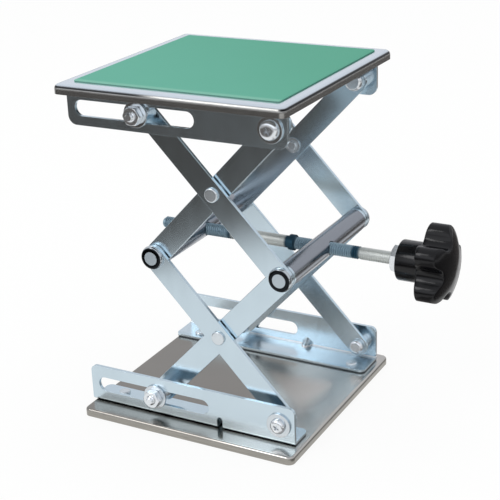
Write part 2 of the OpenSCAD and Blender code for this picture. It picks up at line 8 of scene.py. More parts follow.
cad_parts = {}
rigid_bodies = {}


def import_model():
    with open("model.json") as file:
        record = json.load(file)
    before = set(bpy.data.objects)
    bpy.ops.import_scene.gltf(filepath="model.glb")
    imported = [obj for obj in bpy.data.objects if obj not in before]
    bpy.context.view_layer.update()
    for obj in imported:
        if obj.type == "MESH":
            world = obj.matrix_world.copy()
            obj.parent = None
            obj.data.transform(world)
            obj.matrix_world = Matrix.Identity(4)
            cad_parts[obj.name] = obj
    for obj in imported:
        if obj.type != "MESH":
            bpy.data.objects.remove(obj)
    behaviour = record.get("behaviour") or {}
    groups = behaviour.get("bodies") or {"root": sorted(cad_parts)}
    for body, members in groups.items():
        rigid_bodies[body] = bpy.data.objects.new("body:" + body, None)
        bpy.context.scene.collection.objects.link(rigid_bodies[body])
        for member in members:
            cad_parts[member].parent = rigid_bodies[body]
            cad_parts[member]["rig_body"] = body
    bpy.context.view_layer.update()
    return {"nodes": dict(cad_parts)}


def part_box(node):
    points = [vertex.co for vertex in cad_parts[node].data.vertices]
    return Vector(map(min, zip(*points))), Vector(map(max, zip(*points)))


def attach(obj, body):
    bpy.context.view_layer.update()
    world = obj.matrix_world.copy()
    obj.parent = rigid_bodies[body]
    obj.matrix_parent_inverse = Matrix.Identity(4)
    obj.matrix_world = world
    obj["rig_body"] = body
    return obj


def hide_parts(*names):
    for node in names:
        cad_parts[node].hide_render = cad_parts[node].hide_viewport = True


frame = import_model()
nodes = frame["nodes"]
mm = 0.001
print("lab jack: frame loaded with", len(nodes), "nodes")


def centreOf(node):
    low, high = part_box(node)
    return (low + high) / 2


middleY = centreOf("lead_screw").y
screwZ = centreOf("lead_screw").z
pivotX = centreOf("base_pivot_screws").x
pivotZ = centreOf("base_pivot_screws").z
topZ = centreOf("platform_pivot_screws").z
slideX = centreOf("lower_slot_bolts").x
innerIn, innerOut = (corner.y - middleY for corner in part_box("lower_inner_arm_rear"))
outerIn, outerOut = (corner.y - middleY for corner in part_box("lower_outer_arm_rear"))

# shader building


class Wire:
    # one output socket, so that shader maths can be written as plain expressions
    def __init__(self, finish, socket):
        self.finish = finish
        self.socket = socket

    def maths(self, operation, first, second=None):
        inputs = {0: first}
        if second is not None:
            inputs[1] = second
        return self.finish.node("ShaderNodeMath", {"operation": operation}, inputs)

    def __add__(self, other):
        return self.maths("ADD", self, other)

    def __radd__(self, other):
        return self.maths("ADD", other, self)

    def __sub__(self, other):
        return self.maths("SUBTRACT", self, other)

    def __rsub__(self, other):
        return self.maths("SUBTRACT", other, self)

    def __mul__(self, other):
        return self.maths("MULTIPLY", self, other)

    def __truediv__(self, other):
        return self.maths("DIVIDE", self, other)

    def __pow__(self, other):
        return self.maths("POWER", self, other)

    def __abs__(self):
        return self.maths("ABSOLUTE", self)


class Finish:
    # a material or world and the nodes in it
    def __init__(self, owner):
        self.owner = owner
        owner.use_nodes = True
        self.tree = owner.node_tree
        self.tree.nodes.clear()

    def node(self, kind, settings=None, inputs=None, output=0):
        made = self.tree.nodes.new(kind)
        for key, value in (settings or {}).items():
            if key == "stops":
                ramp = made.color_ramp
                while len(ramp.elements) < len(value):
                    ramp.elements.new(1.0)
                for element, (place, colour) in zip(ramp.elements, value):
                    element.position = place
                    element.color = colour
            else:
                setattr(made, key, value)
        for key, value in (inputs or {}).items():
            if isinstance(value, Wire):
                self.tree.links.new(value.socket, made.inputs[key])
            else:
                made.inputs[key].default_value = value
        return Wire(self, made.outputs[output]) if len(made.outputs) else None

    def place(self):
        return self.node("ShaderNodeTexCoord", output="Object")

    def axis(self, letter, vector):
        return self.node("ShaderNodeSeparateXYZ", None, {0: vector}, letter)

    def stretched(self, vector, scale):
        return self.node("ShaderNodeMapping", None, {"Vector": vector, "Scale": scale})

    def noise(self, vector, scale, detail=2.0, roughness=0.5, distortion=0.0):
        inputs = {"Vector": vector, "Scale": scale, "Detail": detail, "Roughness": roughness}
        inputs["Distortion"] = distortion
        return self.node("ShaderNodeTexNoise", None, inputs)

    def step(self, value, low, high, start=0.0, end=1.0):
        inputs = {"Value": value, "From Min": low, "From Max": high, "To Min": start, "To Max": end}
        return self.node("ShaderNodeMapRange", {"interpolation_type": "SMOOTHSTEP"}, inputs)

    def tinted(self, mask, first, second):
        return self.node("ShaderNodeMix", {"data_type": "RGBA"}, {0: mask, 6: first, 7: second}, 2)

    def bump(self, height, strength, distance):
        inputs = {"Height": height, "Strength": strength, "Distance": distance}
        return self.node("ShaderNodeBump", None, inputs)

    def surface(self, inputs):
        shader = self.node("ShaderNodeBsdfPrincipled", None, inputs)
        self.node("ShaderNodeOutputMaterial", None, {"Surface": shader})
        return self.owner


def linear(code):
    # a colour written as rrggbb, as linear values
    parts = [int(code[i : i + 2], 16) / 255 for i in (0, 2, 4)]
    return tuple(p / 12.92 if p < 0.04045 else ((p + 0.055) / 1.055) ** 2.4 for p in parts) + (1.0,)


def darker(colour, share):
    return tuple(c * share for c in colour[:3]) + (1.0,)


# finishes

steelLooks = {
    # name: tint, roughness, spread of roughness, height of the fine grain, share of bare metal
    "armSteel": ("cddde6", 0.18, 0.08, 0.05, 1.0),
    "bracketSteel": ("d0e0e9", 0.22, 0.08, 0.05, 1.0),
    "rivetSteel": ("dde4e8", 0.22, 0.1, 0.08, 0.82),
    "fastenerSteel": ("e9edf0", 0.2, 0.06, 0.05, 0.93),
    "washerSteel": ("d6dde2", 0.17, 0.08, 0.08, 1.0),
    "insertBrass": ("c79a4e", 0.25, 0.1, 0.1, 1.0),
}
platingLook = {
    # noise scales of the handling marks, the smears, the fine grain and the waves of the sheet
    "marks": 38.0,
    "smears": 190.0,
    "grain": 2600.0,
    "waves": 55.0,
    "smearStretch": (1.0, 1.0, 0.25),
    # how much the marks darken the tint and dull the shine, and how far the waves stand out
    "darkening": 0.12,
    "markShare": 0.4,
    "waveHeight": 2.0,
    "bumpStrength": 0.25,
    "bumpDepth": 0.06 * mm,
}


def metalSurface(finish, colour, rough, spread, grainHeight, metal=1.0):
    look = platingLook
    place = finish.place()
    smeared = finish.stretched(place, look["smearStretch"])
    marks = finish.noise(place, look["marks"], detail=3.0, roughness=0.55, distortion=0.6)
    smears = finish.noise(smeared, look["smears"], detail=4.0, roughness=0.6, distortion=0.3)
    grain = finish.noise(place, look["grain"])
    waves = finish.noise(place, look["waves"], detail=1.0, roughness=0.4)
    relief = grain * grainHeight + waves * look["waveHeight"]
    return finish.surface(
        {
            "Base Color": finish.tinted(marks * look["darkening"], colour, (0.0, 0.0, 0.0, 1.0)),
            "Metallic": metal,
            "Roughness": rough - spread / 2 + smears * spread + marks * spread * look["markShare"],
            "Normal": finish.bump(relief, look["bumpStrength"], look["bumpDepth"]),
        }
    )


bracketPaintedLight = {
    # heights over the base brackets' foot: a painted contact shadow where the foot meets the plate,
    # and a painted highlight along the fold
    "seam": (0.8 * mm, 0.4 * mm),
    "contactShadowTint": "14181b",
    "contactShadowShare": 0.85,
    "fold": 1.9 * mm,
    # the painted highlight along the fold: its half width, where it starts behind, its white tint,
    # and how much less metallic it is
    "foldHighlightHalfWidth": (0.45 * mm, 0.2 * mm),
    "foldHighlightBehind": (30.0 * mm, 32.0 * mm),
    "foldHighlightTint": "ffffff",
    "foldHighlightDiffuse": 0.6,
}


def bracketColour(finish, colour, metal):
    # the painted contact shadow shows under both base brackets, the painted highlight along the fold
    # only on the rear one
    marks = bracketPaintedLight
    place = finish.place()
    height = finish.axis("Z", place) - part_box("base_rear_bracket")[0].z
    seam = finish.step(height, *marks["seam"])
    colour = finish.tinted(seam * marks["contactShadowShare"], colour, linear(marks["contactShadowTint"]))
    paintedLine = finish.step(abs(height - marks["fold"]), *marks["foldHighlightHalfWidth"])
    paintedLine = paintedLine * finish.step(finish.axis("Y", place), *marks["foldHighlightBehind"])
    return finish.tinted(paintedLine, colour, linear(marks["foldHighlightTint"])), metal - paintedLine * marks["foldHighlightDiffuse"]


def steel(name):
    tint, rough, spread, grainHeight, metal = steelLooks[name]
    finish = Finish(bpy.data.materials.new(name))
    colour = linear(tint)
    if name == "bracketSteel":
        colour, metal = bracketColour(finish, colour, metal)
    return metalSurface(finish, colour, rough, spread, grainHeight, metal)


barLook = {
    "body": "969aa1",
    "ends": "bcc7cd",
    # roughness of the body and of the ends
    "roughness": (0.2, 0.3),
    "spread": 0.06,
    "grain": 0.04,
    "coating": 0.45,
}


def barSteel():
    # ground bars, whose pressed ends are paler and duller
    finish = Finish(bpy.data.materials.new("barSteel"))
    fromMiddle = abs(finish.axis("Y", finish.place()) - middleY)
    onEnd = finish.step(fromMiddle, outerOut, outerOut + 0.3 * mm)
    colour = finish.tinted(onEnd, linear(barLook["body"]), linear(barLook["ends"]))
    ground, pressed = barLook["roughness"]
    rough = ground + onEnd * (pressed - ground)
    metal = 1.0 - onEnd * barLook["coating"]
    return metalSurface(finish, colour, rough, barLook["spread"], barLook["grain"], metal)


capReflectionLook = {
    # painted reflection: the dark face and the bright rim
    "face": "202326",
    "rim": "c8cfd3",
    # distances from the cap's middle where the face passes into the rim
    "faceEdge": (4.45 * mm, 4.75 * mm),
    "roughness": 0.1,
    "spread": 0.05,
    "grain": 0.02,
}


def capSteel():
    # pressed caps, with a painted reflection: a bright rim round a dark face
    finish = Finish(bpy.data.materials.new("capSteel"))
    place = finish.place()
    apart = (pivotX - slideX) / 2
    across = abs(finish.axis("X", place) - (pivotX + slideX) / 2) - apart
    radius = (across * across + (finish.axis("Z", place) - screwZ) ** 2.0) ** 0.5
    onRim = finish.step(radius, *capReflectionLook["faceEdge"])
    colour = finish.tinted(onRim, linear(capReflectionLook["face"]), linear(capReflectionLook["rim"]))
    return metalSurface(finish, colour, capReflectionLook["roughness"], capReflectionLook["spread"], capReflectionLook["grain"])


plateLooks = {
    # name: node, tints of the top at left and right, tint of the rim, roughness of top and rim,
    # share of bare metal; the top and rim tints carry painted reflection
    "platformSteel": ("platform_plate", ("e2ebf3", "dde6ee"), "9b9a97", (0.14, 0.2), 0.85),
    "baseSteel": ("base_plate", ("928e88", "c4c1bc"), "a5a29b", (0.17, 0.24), 1.0),
}
plateStreaksAndReflections = {
    # depths below the top where the rim ends, and where the painted reflection line under the
    # platform's lip lies
    "rimEnd": (0.9 * mm, 0.3 * mm),
    "lineLow": (1.5 * mm, 1.3 * mm),
    "reflectionLineHigh": (0.5 * mm, 0.7 * mm),
    "reflectionLineTint": "111315",
    # how near a side edge the painted reflection line starts, and where it fades along the front
    "reflectionLineSides": (2.7 * mm, 1.2 * mm),
    "lineFront": (4.0 * mm, -16.0 * mm),
    # where the top passes from its left tint to its right one, a painted reflection
    "paler": (6.0 * mm, 38.0 * mm),
    # the streaks along the fold, and the shades they run between
    "streaks": 2200.0,
    "streakStretch": (0.06, 0.06, 1.0),
    "streakShades": (0.72, 1.2),
    "spread": 0.06,
    "grain": 0.02,
}


def lipReflectionLine(finish, height, across, top, side):
    # a painted reflection: a dark line under the lip, along both sides and half of the front
    lowFrom, lowTo = plateStreaksAndReflections["lineLow"]
    highFrom, highTo = plateStreaksAndReflections["reflectionLineHigh"]
    farther, nearer = plateStreaksAndReflections["reflectionLineSides"]
    paintedLine = finish.step(height, top - lowFrom, top - lowTo)
    paintedLine = paintedLine * finish.step(height, top - highFrom, top - highTo)
    where = finish.step(abs(across), side - farther, side - nearer)
    where = where + finish.step(across, *plateStreaksAndReflections["lineFront"])
    return paintedLine * finish.step(where, 0.0, 1.0)


def plateSteel(name):
    # the top is smoother than the rim, where fine streaks run along the fold; top and rim take
    # different tints as painted reflection
    node, topReflectionTints, rimReflectionTint, (topRough, rimRough), metal = plateLooks[name]
    finish = Finish(bpy.data.materials.new(name))
    place = finish.place()
    height = finish.axis("Z", place)
    across = finish.axis("X", place)
    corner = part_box(node)[1]
    rimTo, topFrom = plateStreaksAndReflections["rimEnd"]
    onTop = finish.step(height, corner.z - rimTo, corner.z - topFrom)
    drawn = finish.stretched(place, plateStreaksAndReflections["streakStretch"])
    streak = finish.noise(drawn, plateStreaksAndReflections["streaks"], detail=3.0, roughness=0.6)
    shades = [darker(linear(rimReflectionTint), share) for share in plateStreaksAndReflections["streakShades"]]
    rim = finish.tinted(streak, *shades)
    if node == "platform_plate":
        # the painted reflection line under the platform's lip
        paintedLine = lipReflectionLine(finish, height, across, corner.z, corner.x)
        rim = finish.tinted(paintedLine, rim, linear(plateStreaksAndReflections["reflectionLineTint"]))
    paler = finish.step(across, *plateStreaksAndReflections["paler"])
    colour = finish.tinted(onTop, rim, finish.tinted(paler, *(linear(tint) for tint in topReflectionTints)))
    rough = rimRough - onTop * (rimRough - topRough)
    return metalSurface(finish, colour, rough, plateStreaksAndReflections["spread"], plateStreaksAndReflections["grain"], metal)


screwLook = {
    "dark": "93abb8",
    "ring": "2c5063",
    "light": "dde0db",
    # the stretch of the screw's axis that the bands are measured on
    "from": -40.0 * mm,
    "length": 120.0 * mm,
    "roughness": 0.45,
    "spread": 0.08,
    "grain": 0.05,
    "metal": 0.8,
    # where each tint begins and ends, as shares of the length
    "bands": (
        (0.0, "dark"),
        (0.30, "dark"),
        (0.312, "ring"),
        (0.33, "light"),
        (0.53, "light"),
        (0.538, "ring"),
        (0.57, "ring"),
        (0.578, "dark"),
        (0.785, "dark"),
        (0.792, "ring"),
        (0.812, "ring"),
        (0.82, "light"),
    ),
}


def screwSteel():
    # darker lengths where the threads run in the bars, a lighter shank between them, and dark rings
    # where the tints meet
    finish = Finish(bpy.data.materials.new("screwSteel"))
    along = (finish.axis("X", finish.place()) - screwLook["from"]) / screwLook["length"]
    stops = [(share, linear(screwLook[tint])) for share, tint in screwLook["bands"]]
    colour = finish.node("ShaderNodeValToRGB", {"stops": stops}, {0: along})
    rough, spread, grainHeight = (screwLook[key] for key in ("roughness", "spread", "grain"))
    return metalSurface(finish, colour, rough, spread, grainHeight, screwLook["metal"])


matLook = {
    "green": "5fa58d",
    # painted light: the shaded and the lit green of the mat
    "shade": "559d82",
    "pale": "66ad97",
    # the tint of the painted highlight along the front edge
    "edge": "9ccab6",
    "roughness": 0.7,
    "spread": 0.12,
    "specular": 0.15,
    # painted light: where the tint turns from shaded to lit, measured along x + y, and how cloudy
    # that change is
    "broad": (90.0 * mm, -70.0 * mm),
    "clouds": 24.0,
    "cloudShare": 0.3,
    # a painted highlight along the front edge
    "worn": (3.2 * mm, 0.6 * mm),
    "frontHighlightShare": 0.4,
    "pebbles": 1500.0,
    "fine": 3200.0,
    "fineShare": 0.35,
    "fineHeight": 0.4,
    "bumpStrength": 0.35,
    "bumpDepth": 0.08 * mm,
}


def matRubber():
    finish = Finish(bpy.data.materials.new("greenMat"))
    place = finish.place()
    broad = finish.step(finish.axis("X", place) + finish.axis("Y", place), *matLook["broad"])
    cloudy = matLook["cloudShare"]
    broad = broad * (1.0 - cloudy) + finish.noise(place, matLook["clouds"]) * cloudy
    pebbles = {"Vector": place, "Scale": matLook["pebbles"]}
    pebble = finish.node("ShaderNodeTexVoronoi", {"feature": "SMOOTH_F1"}, pebbles)
    fine = finish.noise(place, matLook["fine"], roughness=0.6)
    colour = finish.tinted(broad, linear(matLook["shade"]), linear(matLook["pale"]))
    colour = finish.tinted(fine * matLook["fineShare"], colour, linear(matLook["green"]))
    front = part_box("platform_mat")[0].y
    highlightTo, highlightFrom = matLook["worn"]
    worn = finish.step(finish.axis("Y", place), front + highlightTo, front + highlightFrom)
    colour = finish.tinted(worn * matLook["frontHighlightShare"], colour, linear(matLook["edge"]))
    relief = pebble + fine * matLook["fineHeight"]
    return finish.surface(
        {
            "Base Color": colour,
            "Roughness": matLook["roughness"] - matLook["spread"] / 2 + fine * matLook["spread"],
            "Specular IOR Level": matLook["specular"],
            "Normal": finish.bump(relief, matLook["bumpStrength"], matLook["bumpDepth"]),
        }
    )


knobLook = {
    "black": "060608",
    "grey": "0d0d10",
    "roughness": 0.12,
    "specular": 0.28,
    # noise scales of the moulding's flow and of fine specks, and what each adds
    "flow": 90.0,
    "flowRoughness": 0.07,
    "flowHeight": 2.0,
    "flowCoat": 0.06,
    "specks": 1900.0,
    "speckRoughness": 0.03,
    "speckHeight": 0.1,
    "speckShare": 0.5,
    "bumpStrength": 0.12,
    "bumpDepth": 0.1 * mm,
}


def knobPlastic():
    finish = Finish(bpy.data.materials.new("glossBlackPlastic"))
    place = finish.place()
    look = knobLook
    flow = finish.noise(place, look["flow"], distortion=0.4)
    speck = finish.noise(place, look["specks"], detail=3.0, roughness=0.7)
    relief = flow * look["flowHeight"] + speck * look["speckHeight"]
    uneven = flow * look["flowRoughness"] + speck * look["speckRoughness"]
    return finish.surface(
        {
            "Base Color": finish.tinted(
                speck * look["speckShare"], linear(look["black"]), linear(look["grey"])
            ),
            "Roughness": look["roughness"] + uneven,
            "Normal": finish.bump(relief, look["bumpStrength"], look["bumpDepth"]),
            "Specular IOR Level": look["specular"],
            "Coat Weight": flow * look["flowCoat"],
        }
    )


materials = {name: steel(name) for name in steelLooks}
materials |= {name: plateSteel(name) for name in plateLooks}
materials["screwSteel"] = screwSteel()
materials["barSteel"] = barSteel()
materials["capSteel"] = capSteel()
materials["greenMat"] = matRubber()
materials["glossBlackPlastic"] = knobPlastic()
print("lab jack:", len(materials), "finishes made")

# helpers for pieces


def finishPiece(name, bm, material, body, replaced, smoothAngle=35.0):
    mesh = bpy.data.meshes.new(name)
    bm.to_mesh(mesh)
    bm.free()
    mesh.shade_smooth()
    mesh.set_sharp_from_angle(angle=math.radians(smoothAngle))
    mesh.materials.append(materials[material])
    piece = bpy.data.objects.new(name, mesh)
    bpy.context.scene.collection.objects.link(piece)
    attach(piece, body)
    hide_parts(*replaced)
    return piece


def bodyOf(node):
    return nodes[node]["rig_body"]


def copied(node):
    # the solid's triangles merged back into its flat faces
    bm = bmesh.new()
    bm.from_mesh(nodes[node].data)
    bmesh.ops.remove_doubles(bm, verts=bm.verts, dist=1e-6)
    bmesh.ops.dissolve_limit(bm, angle_limit=math.radians(0.4), verts=bm.verts, edges=bm.edges)
    return bm


def softenEdges(bm, width):
    # rounds the outward edges that turn by more than 38 degrees
    limit = math.radians(38.0)
    edges = [e for e in bm.edges if e.is_manifold and e.is_convex and e.calc_face_angle(0.0) > limit]
    bmesh.ops.bevel(
        bm,
        geom=edges,
        offset=width,
        offset_type="OFFSET",
        affect="EDGES",
        segments=2,
        profile=0.5,
        material=-1,
        clamp_overlap=True,
    )


def softPiece(node, material, width):
    bm = copied(node)
    if width:
        softenEdges(bm, width)
    piece = finishPiece(camel(node), bm, material, bodyOf(node), [node])
    weighted = piece.modifiers.new("evenShading", "WEIGHTED_NORMAL")
    weighted.keep_sharp = True
    return piece


def camel(node):
    first, *rest = node.split("_")
    return first + "".join(word.capitalize() for word in rest)


def turned(bm, outline, steps):
    # a lathe shape round +Z from (radius, height) points
    verts = [bm.verts.new((r, 0.0, z)) for r, z in outline]
    edges = [bm.edges.new(pair) for pair in zip(verts, verts[1:])]
    bmesh.ops.spin(
        bm,
        geom=verts + edges,
        cent=(0, 0, 0),
        axis=(0, 0, 1),
        angle=math.tau,
        steps=steps,
        use_merge=True,
    )


def cleaned(bm, merge=2e-6):
    bmesh.ops.remove_doubles(bm, verts=bm.verts, dist=merge)
    bmesh.ops.dissolve_degenerate(bm, edges=bm.edges, dist=1e-7)
    bmesh.ops.recalc_face_normals(bm, faces=bm.faces)


def threaded(bm, start, length, outerR, innerR, pitch, hand):
    # a helical thread round +Z: a row of teeth spun one turn while it moves on by one pitch
    steps = 36
    crestFrom, crestTo = 0.42 * pitch, 0.58 * pitch
    teeth = int(length / pitch)
    verts = []
    for tooth in range(teeth):
        z = start + tooth * pitch
        verts.append(bm.verts.new((innerR, 0.0, z)))
        verts.append(bm.verts.new((outerR, 0.0, z + crestFrom)))
        verts.append(bm.verts.new((outerR, 0.0, z + crestTo)))
    verts.append(bm.verts.new((innerR, 0.0, start + teeth * pitch)))
    edges = [bm.edges.new(pair) for pair in zip(verts, verts[1:])]
    bmesh.ops.spin(
        bm,
        geom=verts + edges,
        cent=(0, 0, 0),
        axis=(0, 0, 1),
        dvec=(0, 0, pitch / steps),
        angle=hand * math.tau,
        steps=steps,
        use_merge=False,
    )


def placedCopy(bm, source, matrix):
    # adds a copy of source to bm, moved by matrix
    mesh = bpy.data.meshes.new("part")
    source.to_mesh(mesh)
    mesh.transform(matrix)
    bm.from_mesh(mesh)
    bpy.data.meshes.remove(mesh)


def outwardMatrix(x, z, side):
    # +Z points out from the middle plane, on the front (side -1) or the rear (side 1)
    return Matrix.Translation((x, middleY, z)) @ Matrix.Rotation(-side * math.pi / 2, 4, "X")


# plates, brackets and arms

sheetWork = {
    # node: material, width of the softened edges
    "base_plate": ("baseSteel", 0.12 * mm),
    "platform_plate": ("platformSteel", 0.12 * mm),
    "base_front_bracket": ("bracketSteel", 0.32 * mm),
    "base_rear_bracket": ("bracketSteel", 0.32 * mm),
    "platform_front_bracket": ("bracketSteel", 0.32 * mm),
    "platform_rear_bracket": ("bracketSteel", 0.32 * mm),
    "lower_outer_arm_front": ("armSteel", 0.34 * mm),
    "lower_outer_arm_rear": ("armSteel", 0.34 * mm),
    "lower_inner_arm_front": ("armSteel", 0.34 * mm),
    "lower_inner_arm_rear": ("armSteel", 0.34 * mm),
    "upper_inner_arm_front": ("armSteel", 0.34 * mm),
    "upper_inner_arm_rear": ("armSteel", 0.34 * mm),
    "upper_outer_arm_front": ("armSteel", 0.34 * mm),
    "upper_outer_arm_rear": ("armSteel", 0.34 * mm),
    "platform_mat": ("greenMat", 0.3 * mm),
}
for node, (material, width) in sheetWork.items():
    softPiece(node, material, width)
print("lab jack: plates, brackets, arms and mat softened")

# rivets, washers, spacers, nuts and caps

smallWork = {
    "base_bracket_rivets": ("rivetSteel", 0.08 * mm),
    "platform_bracket_rivets": ("rivetSteel", 0.0),
    "lower_centre_rivets": ("rivetSteel", 0.1 * mm),
    "upper_centre_rivets": ("rivetSteel", 0.1 * mm),
    "lower_centre_washers": ("washerSteel", 0.1 * mm),
    "upper_centre_washers": ("washerSteel", 0.1 * mm),
    "base_pivot_washers": ("washerSteel", 0.14 * mm),
    "platform_pivot_washers": ("washerSteel", 0.14 * mm),
    "base_pivot_spacers": ("washerSteel", 0.14 * mm),
    "platform_pivot_spacers": ("washerSteel", 0.14 * mm),
    "base_pivot_sleeve_nuts": ("fastenerSteel", 0.1 * mm),
    "platform_pivot_sleeve_nuts": ("fastenerSteel", 0.1 * mm),
    "lower_slot_bushes": ("washerSteel", 0.14 * mm),
    "upper_slot_bushes": ("washerSteel", 0.14 * mm),
    "lower_slot_washers": ("washerSteel", 0.14 * mm),
    "upper_slot_washers": ("washerSteel", 0.14 * mm),
    "lower_slot_nuts": ("fastenerSteel", 0.12 * mm),
    "upper_slot_nuts": ("fastenerSteel", 0.12 * mm),
    "left_bar_washers": ("washerSteel", 0.08 * mm),
    "right_bar_washers": ("washerSteel", 0.08 * mm),
    "left_bar_caps": ("capSteel", 0.1 * mm),
    "right_bar_caps": ("capSteel", 0.1 * mm),
    "left_cross_bar": ("barSteel", 0.5 * mm),
    "right_cross_bar": ("barSteel", 0.5 * mm),
    "stop_collar": ("screwSteel", 0.2 * mm),
    "lock_nut": ("fastenerSteel", 0.2 * mm),
    "knob_insert": ("insertBrass", 0.2 * mm),
}
for node, (material, width) in smallWork.items():
    softPiece(node, material, width)
print("lab jack: small steel pieces softened")

# pivot screws with crossed recesses

panHead = {
    "rim": 0.6 * mm,
    "chamfer": 0.15 * mm,
    # shares of the head's width: its flat top, and the recess's width and depth
    "flat": 0.42,
    "recess": 0.49,
    "depth": 0.17,
    # how much narrower the recess is at its bottom, and how wide its arms are
    "taper": 0.62,
    "arm": 0.25,
    "shankR": 1.95 * mm,
}
hairline = 0.02 * mm  # keeps a drawn shape just inside the solid it stands for


def crossCutter(size, depth):
    # two crossed wedges that narrow towards the bottom
    bm = bmesh.new()
    for turn in (0.0, math.pi / 2):
        made = bmesh.ops.create_cube(bm, size=1.0)["verts"]
        for v in made:
            narrow = size * (panHead["taper"] if v.co.z < 0 else 1.0)
            v.co = Vector((v.co.x * narrow, v.co.y * narrow * panHead["arm"], v.co.z * depth * 2))
        bmesh.ops.rotate(bm, verts=made, cent=(0, 0, 0), matrix=Matrix.Rotation(turn, 3, "Z"))
    return bm


def carved(blank, cutter):
    # the blank with the cutter taken out of it
    holders = []
    for bm in (blank, cutter):
        mesh = bpy.data.meshes.new("blank")
        bm.to_mesh(mesh)
        bm.free()
        holder = bpy.data.objects.new("blank", mesh)
        bpy.context.scene.collection.objects.link(holder)
        holders.append(holder)
    cut = holders[0].modifiers.new("cut", "BOOLEAN")
    cut.operation = "DIFFERENCE"
    cut.solver = "EXACT"
    cut.use_self = True
    cut.object = holders[1]
    graph = bpy.context.evaluated_depsgraph_get()
    result = bmesh.new()
    result.from_mesh(holders[0].evaluated_get(graph).to_mesh())
    for holder in holders:
        mesh = holder.data
        bpy.data.objects.remove(holder)
        bpy.data.meshes.remove(mesh)
    return result


def panHeadShape(width, height):
    half = width / 2
    rim, flat, chamfer = panHead["rim"], panHead["flat"], panHead["chamfer"]
    outline = [(0.0, 0.0), (half - chamfer, 0.0), (half, chamfer), (half, rim)]
    steps = 8
    for i in range(1, steps + 1):
        a = math.pi / 2 * i / steps
        outline.append((half * (flat + (1 - flat) * math.cos(a)), rim + (height - rim) * math.sin(a)))
    outline.append((0.0, height + hairline))
    blank = bmesh.new()
    turned(blank, outline, 48)
    cleaned(blank)
    cutter = crossCutter(width * panHead["recess"], width * panHead["depth"])
    bmesh.ops.translate(cutter, verts=cutter.verts, vec=(0, 0, height))
    return carved(blank, cutter)


def pivotScrews(node, washers, z, spin):
    # a head outside, and the shank that runs into the sleeve nut
    low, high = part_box(node)
    headTop = high.y - middleY
    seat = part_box(washers)[1].y - middleY
    shankR, shankTop = panHead["shankR"], seat + 0.1 * mm
    head = panHeadShape(high.z - low.z - hairline, headTop - seat - 1.5 * hairline)
    bm = bmesh.new()
    for side in (-1, 1):
        placing = outwardMatrix(pivotX, z, side)
        seated = placing @ Matrix.Translation((0, 0, seat)) @ Matrix.Rotation(spin * side, 4, "Z")
        placedCopy(bm, head, seated)
        shank = bmesh.new()
        turned(shank, [(0.0, outerOut), (shankR, outerOut), (shankR, shankTop), (0.0, shankTop)], 32)
        cleaned(shank)
        placedCopy(bm, shank, placing)
        shank.free()
    head.free()
    finishPiece(camel(node), bm, "fastenerSteel", bodyOf(node), [node], 40.0)


pivotScrews("base_pivot_screws", "base_pivot_washers", pivotZ, 0.5)
pivotScrews("platform_pivot_screws", "platform_pivot_washers", topZ, 1.1)
print("lab jack: crossed recesses cut")

# slot bolts with threads past their nuts

slotBolt = {
    "outer": 1.98 * mm,
    "root": 1.6 * mm,
    "pitch": 0.7 * mm,
    "threaded": 5.5 * mm,
    "head": 2.4 * mm,
    "headRim": 0.6 * mm,
    "headR": 3.55 * mm,
    # the flat top, as a share of the head's radius
    "headFlat": 0.55,
}


def slotBolts(node, z):
    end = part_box(node)[1].y - middleY
    headIn = outerIn if "upper" in node else innerIn
    threadFrom = end - slotBolt["threaded"]
    half, rim = slotBolt["headR"], slotBolt["headRim"]
    flat = half * slotBolt["headFlat"]
    root, outer, pitch = slotBolt["root"], slotBolt["outer"], slotBolt["pitch"]
    one = bmesh.new()
    top = headIn - slotBolt["head"]
    outline = [(0.0, top), (flat, top)]
    steps = 7
    brow = headIn - rim
    for i in range(1, steps + 1):
        a = math.pi / 2 * i / steps
        outline.append((flat + (half - flat) * math.sin(a), brow - (brow - top) * math.cos(a)))
    outline += [(half, headIn), (outer, headIn), (outer, threadFrom), (root, threadFrom + 0.3 * mm)]
    outline += [(root, end - 0.35 * mm), (root * 0.8, end), (0.0, end)]
    turned(one, outline, 40)
    cleaned(one)
    threaded(one, threadFrom, end - 0.5 * mm - threadFrom - pitch, outer, root, pitch, 1)
    bmesh.ops.remove_doubles(one, verts=one.verts, dist=2e-6)
    bmesh.ops.recalc_face_normals(one, faces=one.faces)
    bm = bmesh.new()
    for side in (-1, 1):
        placedCopy(bm, one, outwardMatrix(slideX, z, side))
    one.free()
    finishPiece(camel(node), bm, "fastenerSteel", bodyOf(node), [node], 32.0)


slotBolts("lower_slot_bolts", pivotZ)
slotBolts("upper_slot_bolts", topZ)
print("lab jack: slot bolts threaded")

# the lead screw

screwShape = {
    "outer": 2.72 * mm,
    "root": 2.3 * mm,
    "plain": 2.55 * mm,
    "pitch": 1.0 * mm,
    # how far the deep threads reach, from the tail and past the right cross bar
    "leftThread": 40.5 * mm,
    "rightThread": 17.5 * mm,
    # the shallow thread on the shank, against the shank's own radius
    "crest": 0.08 * mm,
    "groove": 0.25 * mm,
    # the part of the shank that is hidden in the knob
    "inKnob": 8.0 * mm,
}


